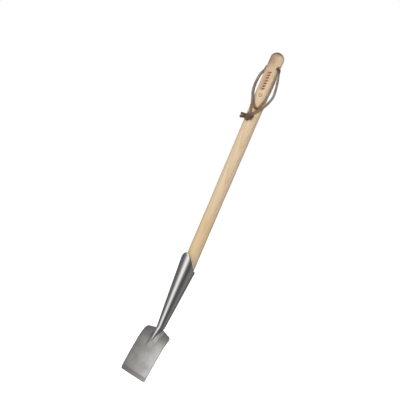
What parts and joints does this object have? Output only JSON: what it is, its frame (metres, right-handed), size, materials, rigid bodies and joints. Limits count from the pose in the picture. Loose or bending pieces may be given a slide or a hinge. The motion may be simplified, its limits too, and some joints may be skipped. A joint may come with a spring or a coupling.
{
  "type": "garden spade",
  "caption": "Narrow-bladed garden spade with a tapering steel socket, a long straight ash shaft and a knotted leather hanging lace.",
  "frame": {"origin": "middle of the lace hole through the top of the shaft, on the shaft's axis", "axes": "+Z along the shaft towards the grip's end, X across the blade, -Y the way the blade's digging face looks"},
  "size_m": [0.074, 0.0479, 0.7375],
  "materials": {
    "blade_steel": "satin ground steel with fine scratches",
    "socket_steel": "polished steel",
    "ash": "pale oiled ash with long straight grain",
    "rivet_steel": "domed steel rivet",
    "leather": "matt grey-brown leather lace"
  },
  "bodies": {
    "spade": {"blade": "blade_steel", "socket": "socket_steel", "shaft": "ash", "socket_rivet": "rivet_steel"},
    "hanging_loop": {"lace_loop": "leather", "lace_knot": "leather", "lace_tail_upper": "leather", "lace_tail_lower": "leather"}
  },
  "joints": [
    {"name": "loop_swing", "type": "hinge", "parent": "spade", "child": "hanging_loop", "pos_m": [0, 0, 0], "axis": [-1, 0, 0], "range_deg": [0, 330]}
  ]
}
